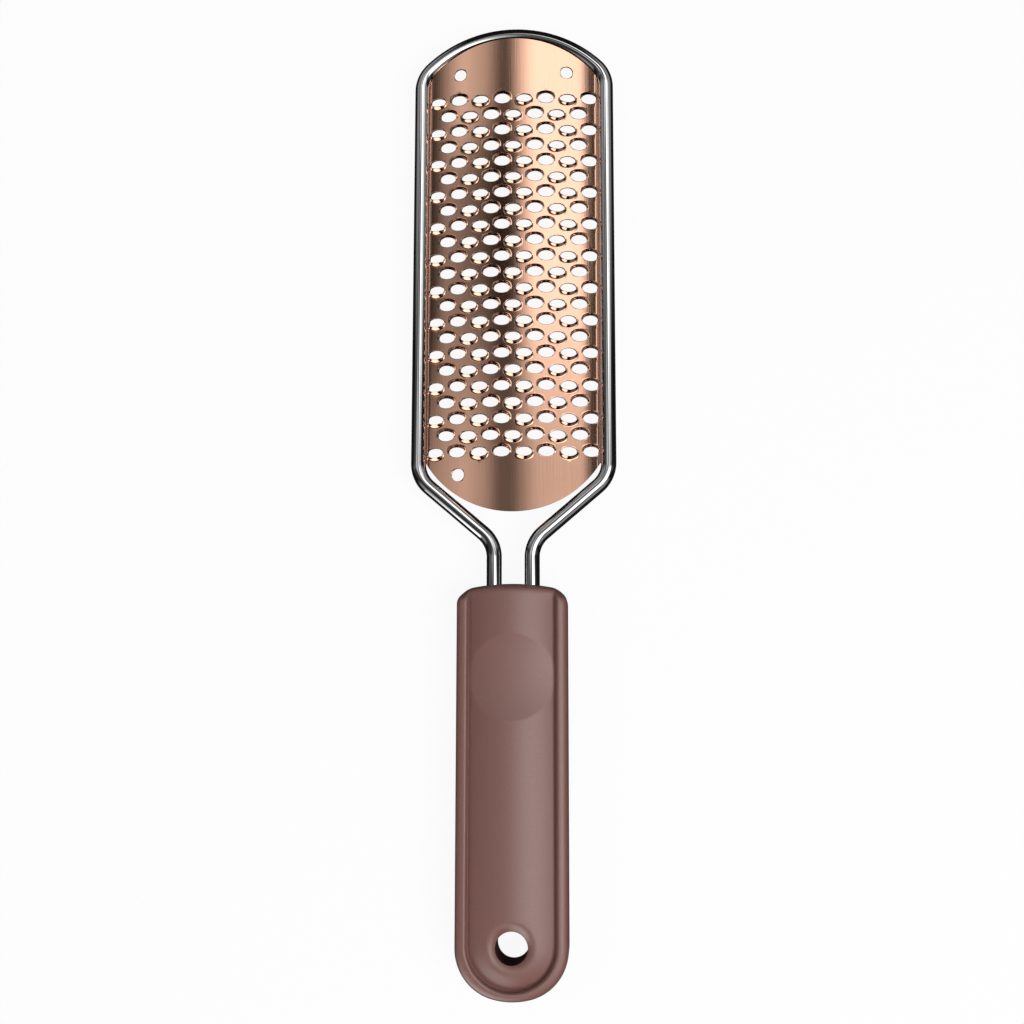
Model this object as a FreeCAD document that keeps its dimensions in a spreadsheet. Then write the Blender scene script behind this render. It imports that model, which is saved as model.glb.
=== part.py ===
import FreeCAD, Part
import math
import os
import re

import Sketcher

# Foot file: a toothed sheet-steel rasp held in a bent wire frame, whose two tails are
# moulded into a hard core under a soft grip. It lies on its back.
# X runs across the width, Y along the length with the rasp at +Y, and Z out of the toothed face.

# Driving sizes in millimetres, angles in degrees, and counts
SIZES = [
    ("overall_length", 258.7),
    ("cut_overrun", 2.0),
    # wire frame
    ("rod_diameter", 4.0),
    ("head_width", 54.6),
    ("head_arc_radius", 32.5),
    ("rod_bend_radius", 8.4),
    ("neck_angle", 49.5),
    ("tail_reach", 7.49),
    ("tail_spacing", 10.0),
    ("tail_depth", 58.0),
    ("tail_flat_length", 8.0),
    ("tail_flat_width", 5.4),
    ("tail_flat_thickness", 2.3),
    # rasp blade
    ("sheet_thickness", 0.45),
    ("seat_clearance", 0.03),
    ("blade_arch_radius", 112.0),
    ("blade_arch_rise", 3.2),
    ("blade_fold_radius", 0.95),
    ("blade_flange_drop", 1.6),
    ("blade_leg_gap", 0.77),
    ("pilot_diameter", 3.4),
    ("pilot_spacing", 29.2),
    ("pilot_inset", 9.9),
    # rasp teeth
    ("tooth_sides", 8),
    ("row_pitch", 4.46),
    ("column_pitch", 5.96),
    ("first_row_inset", 17.4),
    ("last_row_inset", 15.0),
    ("tooth_hole_length", 4.3),
    ("tooth_hole_width", 2.6),
    ("tooth_height", 0.9),
    ("tooth_rim", 0.35),
    ("tooth_foot", 0.8),
    # grip
    ("handle_length", 104.0),
    ("handle_width", 28.6),
    ("handle_thickness", 14.5),
    ("handle_corner_radius", 4.2),
    ("handle_top_radius", 65.0),
    ("handle_end_flattening", 5.0),
    ("handle_end_corner_offset", 1.7),
    ("back_edge_chamfer", 2.4),
    ("top_edge_radius", 2.4),
    ("rim_width", 3.0),
    ("rim_height", 1.7),
    ("rim_edge_radius", 1.15),
    ("panel_rise", 2.4),
    ("panel_end_inset", 13.7),
    ("groove_width", 0.3),
    ("thumb_diameter", 22.2),
    ("thumb_depth", 1.2),
    ("thumb_inset", 23.95),
    # hanging hole
    ("hole_diameter", 8.4),
    ("hole_inset", 12.95),
    ("hole_ring", 0.25),
    ("flare_diameter", 13.4),
    ("flare_depth", 1.5),
    ("back_flare_depth", 1.2),
    # core inside the grip
    ("core_width", 20.0),
    ("core_thickness", 7.0),
    ("core_top_inset", 3.0),
    ("core_corner_radius", 3.0),
    ("boss_wall", 1.4),
    ("mould_clearance", 0.03),
]

doc = FreeCAD.newDocument("foot_file")
sheet = doc.addObject("Spreadsheet::Sheet", "sizes")
for row, (alias, number) in enumerate(SIZES, start=1):
    sheet.set("A%d" % row, alias)
    sheet.set("B%d" % row, str(number))
    sheet.setAlias("B%d" % row, alias)
doc.recompute()


def bound(formula):
    """A formula in the sheet's names, with each name written as sizes.name."""
    return re.sub(r"\b(?!(?:sin|cos|tan|sqrt)\()[a-z]\w*", r"sizes.\g<0>", formula)


def size(formula):
    """Value of a formula written in the sheet's names."""
    return float(sheet.evalExpression(bound(formula)))


# Places that several pieces share, as formulas in the sheet's names
ROD_AXIS_Z = "handle_thickness / 2"
TIP_Y = "overall_length / 2"
HANDLE_END_Y = "-overall_length / 2"
HANDLE_TOP_Y = "(handle_length - overall_length / 2)"
TAIL_END_Y = f"({HANDLE_TOP_Y} - tail_depth)"
HOLE_Y = "(hole_inset - overall_length / 2)"
SIDE_X = "((head_width - rod_diameter) / 2)"
BEND_SETBACK = "(rod_bend_radius * tan(neck_angle / 2))"
NECK_Y = f"({HANDLE_TOP_Y} + tail_reach + {BEND_SETBACK})"
SHOULDER_Y = f"({NECK_Y} + ({SIDE_X} - tail_spacing / 2) / tan(neck_angle))"
GROOVE_Z = "(handle_thickness - panel_rise)"
PANEL_HALF = "(handle_width / 2 - rim_width)"
PANEL_END_Y = "(panel_end_inset - overall_length / 2)"
BOSS_TOP_Z = "(handle_thickness - flare_depth)"
BLADE_HALF = "(head_width / 2 - rod_diameter - seat_clearance)"
BLADE_TOP_Y = "(overall_length / 2 - rod_diameter - seat_clearance)"
BLADE_CROWN_Z = "(handle_thickness / 2 + blade_arch_rise)"
# the blade's lower end is one arc, which starts where the frame's shoulders do and clears its legs
BLADE_LOW_Y = f"({SHOULDER_Y} + {BEND_SETBACK})"
LEG_ROOM = (
    f"(tail_spacing / 2 * cos(neck_angle) + ({BLADE_LOW_Y} - {NECK_Y}) * sin(neck_angle)"
    " - rod_diameter / 2 - blade_leg_gap)"
)
END_CENTRE_RISE = (
    f"(({LEG_ROOM} * sin(neck_angle) - sqrt({LEG_ROOM}^2 - (cos(neck_angle) * {BLADE_HALF})^2))"
    " / cos(neck_angle)^2)"
)
BLADE_END_RADIUS = f"sqrt({BLADE_HALF}^2 + {END_CENTRE_RISE}^2)"
BLADE_END_Y = f"({BLADE_LOW_Y} + {END_CENTRE_RISE} - {BLADE_END_RADIUS})"


def flat(x, y):
    """Point in a sketch."""
    return FreeCAD.Vector(x, y, 0)


def origin_plane(body, role):
    return next(plane for plane in body.Origin.OriginFeatures if plane.Role == role)


def new_sketch(body, name, role, offset):
    """Sketch on one of the body's own origin planes, moved along its normal."""
    sketch = body.newObject("Sketcher::SketchObject", name)
    sketch.AttachmentSupport = [(origin_plane(body, role), "")]
    sketch.MapMode = "FlatFace"
    sketch.setExpression("AttachmentOffset.Base.z", bound(offset))
    return sketch


def line(x0, y0, x1, y1):
    return Part.LineSegment(flat(x0, y0), flat(x1, y1))


def arc(centre, radius, start, end):
    """Arc from a start angle to an end angle, both in radians, through the angle midway."""
    angles = (start, (start + end) / 2, end)
    points = [flat(centre[0] + radius * math.cos(a), centre[1] + radius * math.sin(a)) for a in angles]
    return Part.Arc(*points)


def chain(sketch, pieces, closed):
    """Add lines and arcs to a sketch, each joined to the next at their nearest ends."""
    indices = [sketch.addGeometry(piece, False) for piece in pieces]
    pairs = list(zip(indices, indices[1:]))
    if closed:
        pairs.append((indices[-1], indices[0]))
    used = set()
    for first, second in pairs:
        ends = [(i, j) for i in (1, 2) for j in (1, 2)]
        free = [(i, j) for i, j in ends if (first, i) not in used and (second, j) not in used]
        near = min(free, key=lambda e: (sketch.getPoint(first, e[0]) - sketch.getPoint(second, e[1])).Length)
        used.update({(first, near[0]), (second, near[1])})
        sketch.addConstraint(Sketcher.Constraint("Coincident", first, near[0], second, near[1]))
    return indices


def dimension(sketch, kind, places, formula):
    """Constraint of a sketch, bound to a formula in the sheet's names."""
    number = sketch.addConstraint(Sketcher.Constraint(kind, *places, size(formula)))
    name = "%s_%d" % (kind.lower(), number)
    sketch.renameConstraint(number, name)
    sketch.setExpression("Constraints." + name, bound(formula))


def place(sketch, geometry, end, x_formula, y_formula):
    """Hold one end of a piece at a place measured from the sketch's origin."""
    dimension(sketch, "DistanceX", (-1, 1, geometry, end), x_formula)
    dimension(sketch, "DistanceY", (-1, 1, geometry, end), y_formula)


def circle(sketch, x_formula, y_formula, radius_formula):
    """Circle held by its centre and radius."""
    middle = flat(size(x_formula), size(y_formula))
    normal = FreeCAD.Vector(0, 0, 1)
    index = sketch.addGeometry(Part.Circle(middle, normal, size(radius_formula)), False)
    dimension(sketch, "Radius", (index,), radius_formula)
    place(sketch, index, 3, x_formula, y_formula)


def rectangle(sketch, left, right, low, high):
    """Rectangle held at its four sides, each side given as a formula."""
    x0, x1, y0, y1 = size(left), size(right), size(low), size(high)
    sides = [line(x0, y0, x1, y0), line(x1, y0, x1, y1), line(x1, y1, x0, y1), line(x0, y1, x0, y0)]
    index = chain(sketch, sides, True)
    for side, kind in zip(index, ("Horizontal", "Vertical", "Horizontal", "Vertical")):
        sketch.addConstraint(Sketcher.Constraint(kind, side))
    place(sketch, index[0], 1, left, low)
    place(sketch, index[2], 1, right, high)


def pad(body, sketch, name, length):
    feature = body.newObject("PartDesign::Pad", name)
    feature.Profile = sketch
    feature.setExpression("Length", bound(length))
    doc.recompute()
    return feature


def cut_by(body, name, kind, prepare):
    """Make a cutting feature and check that it takes material away."""
    before = body.Shape.Volume
    feature = body.newObject(kind, name)
    prepare(feature)
    doc.recompute()
    if not body.Shape.Volume < before:
        raise RuntimeError("%s cuts nothing" % name)
    return feature


def pocket(body, sketch, name, depth):
    def prepare(feature):
        feature.Profile = sketch
        feature.setExpression("Length", bound(depth))
    return cut_by(body, name, "PartDesign::Pocket", prepare)


def groove(body, sketch, name, angle):
    """Cut turned about the sketch's own construction line."""
    def prepare(feature):
        feature.Profile = sketch
        feature.ReferenceAxis = (sketch, ["Axis0"])
        feature.Angle = angle
        feature.Midplane = True
    return cut_by(body, name, "PartDesign::Groove", prepare)


def axis_line(sketch, x0, y0, x1, y1):
    """Construction line that a turned cut goes round."""
    index = sketch.addGeometry(line(x0, y0, x1, y1), True)
    for end, x, y in ((1, x0, y0), (2, x1, y1)):
        sketch.addConstraint(Sketcher.Constraint("DistanceX", -1, 1, index, end, x))
        sketch.addConstraint(Sketcher.Constraint("DistanceY", -1, 1, index, end, y))


def rounded_end(half, arc_radius, corner_radius):
    """Where a flattened round end, one wide arc between two corner arcs, has its centres.

    Returns the corner centre's x, its height over the wide arc's centre, and the angle from
    the axis at which the arcs meet."""
    x = half - corner_radius
    rise = math.sqrt((arc_radius - corner_radius) ** 2 - x ** 2)
    return x, rise, math.atan2(x, rise)


# Wire frame: one rod bent round the head, drawn in at the neck and carried on as two tails

def make_wire_frame():
    body = doc.addObject("PartDesign::Body", "wire_frame")
    side, tail = size(SIDE_X), size("tail_spacing / 2")
    bend, wide = size("rod_bend_radius"), size("head_arc_radius")
    turn = math.radians(size("neck_angle"))
    setback = size(BEND_SETBACK)
    corner_x, corner_rise, meet = rounded_end(side, wide, bend)
    wide_y = size(TIP_Y) - size("rod_diameter / 2") - wide
    corner_y = wide_y + corner_rise
    neck_y, shoulder_y = size(NECK_Y), size(SHOULDER_Y)

    def half(sign):
        """One side of the path, from its tail up to the wide arc."""
        def mirrored(x0, y0, x1, y1):
            return line(sign * x0, y0, sign * x1, y1)

        def bent(x, y, start, end):
            if sign < 0:
                start, end = math.pi - start, math.pi - end
            return arc((sign * x, y), bend, start, end)

        run_x, run_y = setback * math.sin(turn), setback * math.cos(turn)
        return [
            mirrored(tail, size(TAIL_END_Y), tail, neck_y - setback),
            bent(tail + bend, neck_y - setback, math.pi, math.pi - turn),
            mirrored(tail + run_x, neck_y + run_y, side - run_x, shoulder_y - run_y),
            bent(side - bend, shoulder_y + setback, -turn, 0),
            mirrored(side, shoulder_y + setback, side, corner_y),
            bent(corner_x, corner_y, 0, math.pi / 2 - meet),
        ]

    path = new_sketch(body, "rod_path", "XY_Plane", ROD_AXIS_Z)
    top = arc((0, wide_y), wide, math.pi / 2 + meet, math.pi / 2 - meet)
    pieces = half(-1) + [top] + half(1)[::-1]
    index = chain(path, pieces, False)
    for arc_index in (1, 3, 5, 7, 9, 11):
        dimension(path, "Radius", (index[arc_index],), "rod_bend_radius")
    dimension(path, "Radius", (index[6],), "head_arc_radius")
    place(path, index[0], 1, "-tail_spacing / 2", TAIL_END_Y)
    place(path, index[-1], 1, "tail_spacing / 2", TAIL_END_Y)

    section = new_sketch(body, "rod_section", "XZ_Plane", "-" + TAIL_END_Y)
    circle(section, "-tail_spacing / 2", ROD_AXIS_Z, "rod_diameter / 2")
    doc.recompute()
    rod = body.newObject("PartDesign::AdditivePipe", "rod")
    rod.Profile = section
    rod.Spine = (path, [])
    doc.recompute()

    flats = new_sketch(body, "tail_flat_section", "XZ_Plane", "-" + TAIL_END_Y)
    for sign in ("-", ""):
        centre = sign + "tail_spacing / 2"
        rectangle(
            flats,
            centre + " - tail_flat_width / 2",
            centre + " + tail_flat_width / 2",
            ROD_AXIS_Z + " - tail_flat_thickness / 2",
            ROD_AXIS_Z + " + tail_flat_thickness / 2",
        )
    pad(body, flats, "tail_flats", "tail_flat_length")
    return body


# Rasp blade: an arched sheet with folded long edges that sit between the two sides of the frame.
# The arch is formed in flats one column of teeth wide.

def column_count():
    """Columns of teeth that fit across the arch."""
    half_arc = size("blade_arch_radius") * math.asin(size(BLADE_HALF) / size("blade_arch_radius"))
    room = half_arc - size("tooth_hole_length / 2")
    return int(2 * room / size("column_pitch")) + 1


def on_arch(radius, lean):
    """Point of the blade's section, at a lean in radians from its middle."""
    return radius * math.sin(lean), size(BLADE_CROWN_Z) - size("blade_arch_radius") + radius * math.cos(lean)


def make_blade_sheet():
    body = doc.addObject("PartDesign::Body", "rasp_blade_sheet")
    half, sheet_t = size(BLADE_HALF), size("sheet_thickness")
    arch, fold = size("blade_arch_radius"), size("blade_fold_radius")
    foot = size(ROD_AXIS_Z) - size("blade_flange_drop")
    up = math.pi / 2
    step = size("column_pitch") / arch
    columns = column_count()
    leans = [(k - columns / 2) * step for k in range(1, columns)]
    slope = leans[-1] + step / 2

    def creases(radius):
        """Corners of one side of the sheet, from left to right."""
        return [on_arch(radius, lean) for lean in leans]

    # each fold is tangent to the outermost flat and to its flange
    last_x, last_z = creases(arch)[-1]
    fold_x = half - fold
    fold_z = last_z - (fold_x - last_x) * math.tan(slope) - fold / math.cos(slope)

    def fold_arc(sign, radius):
        start, end = 0, up - slope
        if sign < 0:
            start, end = math.pi, up + slope
        return arc((sign * fold_x, fold_z), radius, start, end)

    def one_side(reach, radius, corner_radius):
        """Flange, fold, flats, fold and flange, from right to left."""
        turn_x = fold_x + corner_radius * math.sin(slope)
        turn_z = fold_z + corner_radius * math.cos(slope)
        points = [(turn_x, turn_z)] + creases(radius)[::-1] + [(-turn_x, turn_z)]
        flats = [line(*first, *second) for first, second in zip(points, points[1:])]
        right, left = line(reach, foot, reach, fold_z), line(-reach, fold_z, -reach, foot)
        return [right, fold_arc(1, corner_radius)] + flats + [fold_arc(-1, corner_radius), left]

    inner = half - sheet_t
    outside = one_side(half, arch, fold)
    inside = one_side(inner, arch - sheet_t / math.cos(step / 2), fold - sheet_t)
    feet = [line(-half, foot, -inner, foot), line(inner, foot, half, foot)]
    section = new_sketch(body, "blade_section", "XZ_Plane", f"-{BLADE_TOP_Y} - cut_overrun")
    index = chain(section, outside + feet[:1] + inside[::-1] + feet[1:], True)
    inside_start = len(outside) + 1
    for first, formula in ((0, "blade_fold_radius"), (inside_start, "blade_fold_radius - sheet_thickness")):
        for arc_index in (first + 1, first + len(outside) - 2):
            dimension(section, "Radius", (index[arc_index],), formula)
    place(section, index[0], 1, BLADE_HALF, f"{ROD_AXIS_Z} - blade_flange_drop")
    place(section, index[len(outside) - 1], 2, f"-{BLADE_HALF}", f"{ROD_AXIS_Z} - blade_flange_drop")
    pad(body, section, "arched_sheet", f"{BLADE_TOP_Y} - {BLADE_END_Y} + 2 * cut_overrun")

    # plan outline: the top follows the inside of the frame, the lower end is one free arc
    inset = "rod_diameter / 2 - seat_clearance"
    wide, corner = size(f"head_arc_radius - {inset}"), size(f"rod_bend_radius - {inset}")
    corner_x, corner_rise, meet = rounded_end(half, wide, corner)
    wide_y = size(BLADE_TOP_Y) - wide
    corner_y = wide_y + corner_rise
    low_y, end_radius = size(BLADE_LOW_Y), size(BLADE_END_RADIUS)
    end_slope = math.asin(half / end_radius)
    plan = new_sketch(body, "blade_plan", "XY_Plane", f"{BLADE_CROWN_Z} + cut_overrun")
    pieces = [
        line(half, low_y, half, corner_y),
        arc((corner_x, corner_y), corner, 0, up - meet),
        arc((0, wide_y), wide, up - meet, up + meet),
        arc((-corner_x, corner_y), corner, up + meet, math.pi),
        line(-half, corner_y, -half, low_y),
        arc((0, low_y + size(END_CENTRE_RISE)), end_radius, -up - end_slope, -up + end_slope),
    ]
    index = chain(plan, pieces, True)
    for arc_index, formula in (
        (1, f"rod_bend_radius - {inset}"),
        (2, f"head_arc_radius - {inset}"),
        (3, f"rod_bend_radius - {inset}"),
        (5, BLADE_END_RADIUS),
    ):
        dimension(plan, "Radius", (index[arc_index],), formula)
    rectangle(
        plan,
        f"-{BLADE_HALF} - cut_overrun",
        f"{BLADE_HALF} + cut_overrun",
        f"{BLADE_END_Y} - 2 * cut_overrun",
        f"{BLADE_TOP_Y} + 2 * cut_overrun",
    )
    through = "blade_arch_rise + blade_flange_drop + 2 * cut_overrun"
    pocket(body, plan, "trimmed_outline", through)

    pilots = new_sketch(body, "pilot_holes", "XY_Plane", f"{BLADE_CROWN_Z} + cut_overrun")
    circle(pilots, "-pilot_spacing / 2", f"{BLADE_TOP_Y} - pilot_inset", "pilot_diameter / 2")
    circle(pilots, "pilot_spacing / 2", f"{BLADE_TOP_Y} - pilot_inset", "pilot_diameter / 2")
    circle(pilots, "-pilot_spacing / 2", f"{BLADE_END_Y} + pilot_inset", "pilot_diameter / 2")
    pocket(body, pilots, "pilots", through)
    return body


# Rasp teeth: each is a slot whose metal is raised to a sharp cutting lip along one long side

def slot_ring(turns, z):
    """Points round the slot at one height."""
    a, b = size("tooth_hole_length / 2"), size("tooth_hole_width / 2")
    return [FreeCAD.Vector(a * math.cos(w), b * math.sin(w), z) for w in turns]


def flat_sided(rings):
    """Solid with the given flat faces, each a ring of points."""
    faces = [Part.Face(Part.makePolygon(ring + ring[:1])) for ring in rings]
    solid = Part.makeSolid(Part.makeShell(faces))
    if solid.Volume < 0:
        solid.reverse()
    return solid


def lip_apex():
    """Height at which the lip's slopes would meet over the middle of the slot."""
    base = -size("sheet_thickness / 2")
    rate = (size("tooth_height") - base) / size("tooth_foot")
    return base + rate * size("tooth_hole_width / 2 + tooth_foot")


def tooth_hole():
    """Many-sided slot through the sheet and the lip."""
    sides = int(size("tooth_sides"))
    turns = [2 * math.pi * k / sides for k in range(sides)]
    low = slot_ring(turns, -size("sheet_thickness + cut_overrun / 2"))
    high = slot_ring(turns, lip_apex() + size("cut_overrun / 2"))
    walls = [[low[k - 1], low[k], high[k], high[k - 1]] for k in range(sides)]
    return flat_sided([low, high] + walls)


def tooth_lip():
    """Half pyramid on the +Y side of the slot, which the slot cuts back to a crescent."""
    steps = int(size("tooth_sides")) // 2
    turns = [math.pi * k / steps for k in range(steps + 1)]
    rim, foot, base = size("tooth_rim"), size("tooth_foot"), -size("sheet_thickness / 2")
    low = []
    for turn, edge in zip(turns, slot_ring(turns, 0)):
        spread = rim + (foot - rim) * math.sin(turn)
        outer = edge + FreeCAD.Vector(edge).normalize() * spread
        low.append(FreeCAD.Vector(outer.x, outer.y, base))
    apex = FreeCAD.Vector(0, 0, lip_apex())
    sides = [[first, second, apex] for first, second in zip(low, low[1:] + low[:1])]
    return flat_sided([low] + sides)


def tooth_places():
    """Place of each tooth on the arch, and whether its lip is on the +Y side."""
    arch = size("blade_arch_radius")
    step = size("column_pitch") / arch
    columns = column_count()
    last = size(f"{BLADE_TOP_Y} - {BLADE_END_Y} - first_row_inset - last_row_inset")
    for row in range(int(last / size("row_pitch")) + 1):
        short = row % 2
        y = size(f"{BLADE_TOP_Y} - first_row_inset") - row * size("row_pitch")
        # a full row sits on the flats, a short row on the creases between them
        radius = arch if short else arch * math.cos(step / 2)
        for column in range(columns - short):
            lean = (column - (columns - short - 1) / 2) * step
            x, z = on_arch(radius, lean)
            turn = FreeCAD.Rotation(FreeCAD.Vector(0, 1, 0), math.degrees(lean))
            yield FreeCAD.Placement(FreeCAD.Vector(x, y, z), turn), (column + short) % 2 == 1


def make_rasp_blade(sheet_body):
    lip, hole = tooth_lip(), tooth_hole()
    half_turn = FreeCAD.Placement(FreeCAD.Vector(), FreeCAD.Rotation(FreeCAD.Vector(0, 0, 1), 180))
    lips, holes = [], []
    for spot, lip_ahead in tooth_places():
        facing = spot if lip_ahead else spot * half_turn
        for solid, group in ((lip, lips), (hole, holes)):
            copy = solid.copy()
            copy.Placement = facing
            group.append(copy)
    feature = doc.addObject("Part::Feature", "rasp_blade")
    feature.Shape = sheet_body.Shape.multiFuse(lips).cut(Part.makeCompound(holes))
    feature.Placement = FreeCAD.Placement()
    return feature


# Core: the hard moulding that holds the tails and lines the hanging hole

def core_plan(sketch, clearance):
    """Bar with two rounded corners at the top and a round end about the hanging hole."""
    grow = size(clearance)
    half, corner = size("core_width / 2") + grow, size("core_corner_radius") + grow
    top, hole_y = size(HANDLE_TOP_Y) - size("core_top_inset") + grow, size(HOLE_Y)
    up = math.pi / 2
    pieces = [
        line(half, hole_y, half, top - corner),
        arc((half - corner, top - corner), corner, 0, up),
        line(half - corner, top, corner - half, top),
        arc((corner - half, top - corner), corner, up, math.pi),
        line(-half, top - corner, -half, hole_y),
        arc((0, hole_y), half, -math.pi, 0),
    ]
    index = chain(sketch, pieces, True)
    dimension(sketch, "Radius", (index[1],), "core_corner_radius + " + clearance)
    dimension(sketch, "Radius", (index[3],), "core_corner_radius + " + clearance)
    dimension(sketch, "Radius", (index[5],), "core_width / 2 + " + clearance)
    place(sketch, index[5], 3, "0", HOLE_Y)


def make_handle_core():
    body = doc.addObject("PartDesign::Body", "handle_core")
    plan = new_sketch(body, "core_plan", "XY_Plane", ROD_AXIS_Z + " - core_thickness / 2")
    core_plan(plan, "0")
    pad(body, plan, "core_bar", "core_thickness")

    boss = new_sketch(body, "boss_ring", "XY_Plane", "back_flare_depth")
    circle(boss, "0", HOLE_Y, "hole_diameter / 2 + boss_wall")
    pad(body, boss, "boss", BOSS_TOP_Z + " - back_flare_depth")

    bore = new_sketch(body, "bore_circle", "XY_Plane", "handle_thickness")
    circle(bore, "0", HOLE_Y, "hole_diameter / 2")
    pocket(body, bore, "bore", "handle_thickness")

    # sockets for the tails and for their flattened ends
    tails = new_sketch(body, "tail_sockets", "XZ_Plane", f"mould_clearance - {TAIL_END_Y}")
    flats = new_sketch(body, "flat_sockets", "XZ_Plane", f"tail_flat_length + mould_clearance - {TAIL_END_Y}")
    for sign in ("-", ""):
        centre = sign + "tail_spacing / 2"
        circle(tails, centre, ROD_AXIS_Z, "rod_diameter / 2 + mould_clearance")
        rectangle(
            flats,
            centre + " - tail_flat_width / 2 - mould_clearance",
            centre + " + tail_flat_width / 2 + mould_clearance",
            ROD_AXIS_Z + " - tail_flat_thickness / 2 - mould_clearance",
            ROD_AXIS_Z + " + tail_flat_thickness / 2 + mould_clearance",
        )
    pocket(body, tails, "tails", "tail_depth - core_top_inset + mould_clearance + cut_overrun")
    pocket(body, flats, "flats", "tail_flat_length + 2 * mould_clearance")
    return body


# Grip: the soft moulding with a raised rim round a crowned panel, a thumb hollow and the flared hole

def make_handle_grip():
    body = doc.addObject("PartDesign::Body", "handle_grip")
    half, corner = size("handle_width / 2"), size("handle_corner_radius")
    top_y, end_y = size(HANDLE_TOP_Y), size(HANDLE_END_Y)
    wide, end_corner = half + size("handle_end_flattening"), half - size("handle_end_corner_offset")
    end_x, end_rise, meet = rounded_end(half, wide, end_corner)
    wide_y = end_y + wide
    top_radius = size("handle_top_radius")
    corner_x, top_rise, top_meet = rounded_end(half, top_radius, corner)
    top_centre = top_y - top_radius
    up = math.pi / 2

    plan = new_sketch(body, "grip_plan", "XY_Plane", "0")
    pieces = [
        line(half, wide_y - end_rise, half, top_centre + top_rise),
        arc((corner_x, top_centre + top_rise), corner, 0, up - top_meet),
        arc((0, top_centre), top_radius, up - top_meet, up + top_meet),
        arc((-corner_x, top_centre + top_rise), corner, up + top_meet, math.pi),
        line(-half, top_centre + top_rise, -half, wide_y - end_rise),
        arc((-end_x, wide_y - end_rise), end_corner, -math.pi, -up - meet),
        arc((0, wide_y), wide, -up - meet, -up + meet),
        arc((end_x, wide_y - end_rise), end_corner, -up + meet, 0),
    ]
    index = chain(plan, pieces, True)
    for arc_index, formula in (
        (1, "handle_corner_radius"),
        (2, "handle_top_radius"),
        (3, "handle_corner_radius"),
        (5, "handle_width / 2 - handle_end_corner_offset"),
        (6, "handle_width / 2 + handle_end_flattening"),
        (7, "handle_width / 2 - handle_end_corner_offset"),
    ):
        dimension(plan, "Radius", (index[arc_index],), formula)
    block = pad(body, plan, "grip_block", GROOVE_Z + " + rim_height")

    def edges_at(feature, z):
        """Names of a feature's edges that lie flat at one height."""
        near = FreeCAD.Base.Precision.approximation()
        names = []
        for number, edge in enumerate(feature.Shape.Edges, start=1):
            if all(abs(vertex.Z - z) < near for vertex in edge.Vertexes):
                names.append("Edge%d" % number)
        return names

    back = body.newObject("PartDesign::Chamfer", "back_edge")
    back.Base = (block, edges_at(block, 0))
    back.setExpression("Size", bound("back_edge_chamfer"))
    doc.recompute()

    # recessed panel floor, open at the top end, which leaves the raised rim
    panel_half, panel_y = size(PANEL_HALF), size(PANEL_END_Y)
    over = top_y + size("cut_overrun")
    recess = new_sketch(body, "panel_recess", "XY_Plane", GROOVE_Z + " + rim_height")
    pieces = [
        line(panel_half, panel_y, panel_half, over),
        line(panel_half, over, -panel_half, over),
        line(-panel_half, over, -panel_half, panel_y),
        arc((0, panel_y), panel_half, -math.pi, 0),
    ]
    index = chain(recess, pieces, True)
    dimension(recess, "Radius", (index[3],), PANEL_HALF)
    place(recess, index[3], 3, "0", PANEL_END_Y)
    floor = pocket(body, recess, "panel_floor", "rim_height")

    rim_top = size(GROOVE_Z + " + rim_height")
    rim = body.newObject("PartDesign::Fillet", "rim_edges")
    rim.Base = (floor, edges_at(floor, rim_top))
    rim.setExpression("Radius", bound("rim_edge_radius"))
    doc.recompute()

    # crowned panel: one arc carried along the handle and turned about the panel's round end
    crown_half = size(PANEL_HALF + " - groove_width")
    rise = size("panel_rise")
    crown_radius = (crown_half ** 2 + rise ** 2) / (2 * rise)
    spread = math.asin(crown_half / crown_radius)
    floor_z, crown_z = size(GROOVE_Z), size("handle_thickness")
    sink = floor_z - size("rim_height")
    straight = new_sketch(body, "crown_section", "XZ_Plane", "-" + HANDLE_TOP_Y)
    pieces = [
        arc((0, crown_z - crown_radius), crown_radius, up - spread, up + spread),
        line(-crown_half, floor_z, -crown_half, sink),
        line(-crown_half, sink, crown_half, sink),
        line(crown_half, sink, crown_half, floor_z),
    ]
    chain(straight, pieces, True)
    pad(body, straight, "crown_run", HANDLE_TOP_Y + " - " + PANEL_END_Y)

    turned = new_sketch(body, "crown_turn", "XZ_Plane", "-" + PANEL_END_Y)
    pieces = [
        arc((0, crown_z - crown_radius), crown_radius, up - spread, up),
        line(0, crown_z, 0, sink),
        line(0, sink, crown_half, sink),
        line(crown_half, sink, crown_half, floor_z),
    ]
    chain(turned, pieces, True)
    axis_line(turned, 0, sink, 0, crown_z)
    end = body.newObject("PartDesign::Revolution", "crown_end")
    end.Profile = turned
    end.ReferenceAxis = (turned, ["Axis0"])
    end.Angle = 360
    doc.recompute()

    # rounded edge where the front runs out, turned about the top edge's own centre, which also
    # trims the crown's straight end to that arc
    edge = size("top_edge_radius")
    nose = new_sketch(body, "top_edge", "YZ_Plane", "0")
    pieces = [
        arc((top_y - edge, crown_z - edge), edge, 0, up),
        line(top_y - edge, crown_z, top_y - edge, crown_z + edge),
        line(top_y - edge, crown_z + edge, top_y + edge, crown_z + edge),
        line(top_y + edge, crown_z + edge, top_y + edge, sink),
        line(top_y + edge, sink, top_y, sink),
        line(top_y, sink, top_y, crown_z - edge),
    ]
    index = chain(nose, pieces, True)
    dimension(nose, "Radius", (index[0],), "top_edge_radius")
    axis_line(nose, top_centre, 0, top_centre, crown_z)
    reach = half + size("cut_overrun")
    groove(body, nose, "top_edge_cut", 2 * math.degrees(math.asin(reach / top_radius)))

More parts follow.
